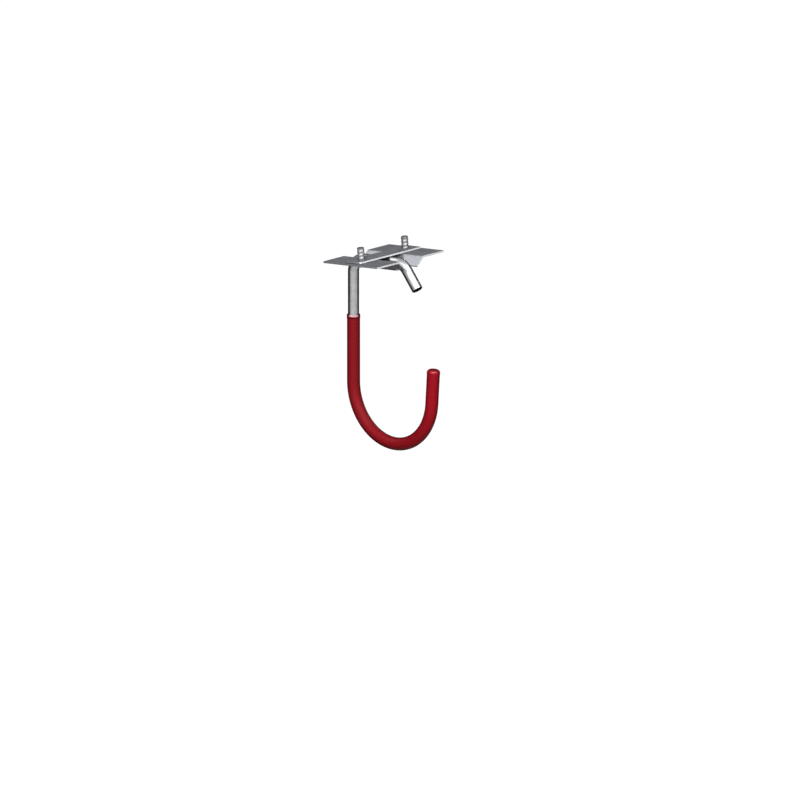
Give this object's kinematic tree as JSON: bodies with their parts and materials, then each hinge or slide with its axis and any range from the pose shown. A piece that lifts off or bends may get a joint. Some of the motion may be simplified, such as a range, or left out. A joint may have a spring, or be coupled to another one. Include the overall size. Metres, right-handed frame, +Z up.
{
  "type": "bicycle storage hook",
  "caption": "Overhead bicycle storage hook: a bent steel rod with a red vinyl sleeve, held in a folded saddle plate by a flat strap and screws.",
  "frame": {"origin": "middle of the strap's top face, which bears on the ceiling", "axes": "+Z up out of the strap's top face, +X along the level rod from the shank to the stub, +Y along the strap"},
  "size_m": [0.0745, 0.056, 0.125],
  "materials": {
    "bright_zinc": "bright zinc plate",
    "dark_sheet_steel": "dark rolled sheet, sheared edges",
    "dark_strap_steel": "dark rolled strip, bright cut edges",
    "screw_steel": "plain steel",
    "red_vinyl": "soft satin vinyl"
  },
  "bodies": {
    "root": {"hook_rod": "bright_zinc", "grip_sleeve": "red_vinyl", "saddle_plate": "dark_sheet_steel", "clamp_strap": "dark_strap_steel", "screw_near": "screw_steel", "screw_far": "screw_steel"}
  },
  "joints": []
}
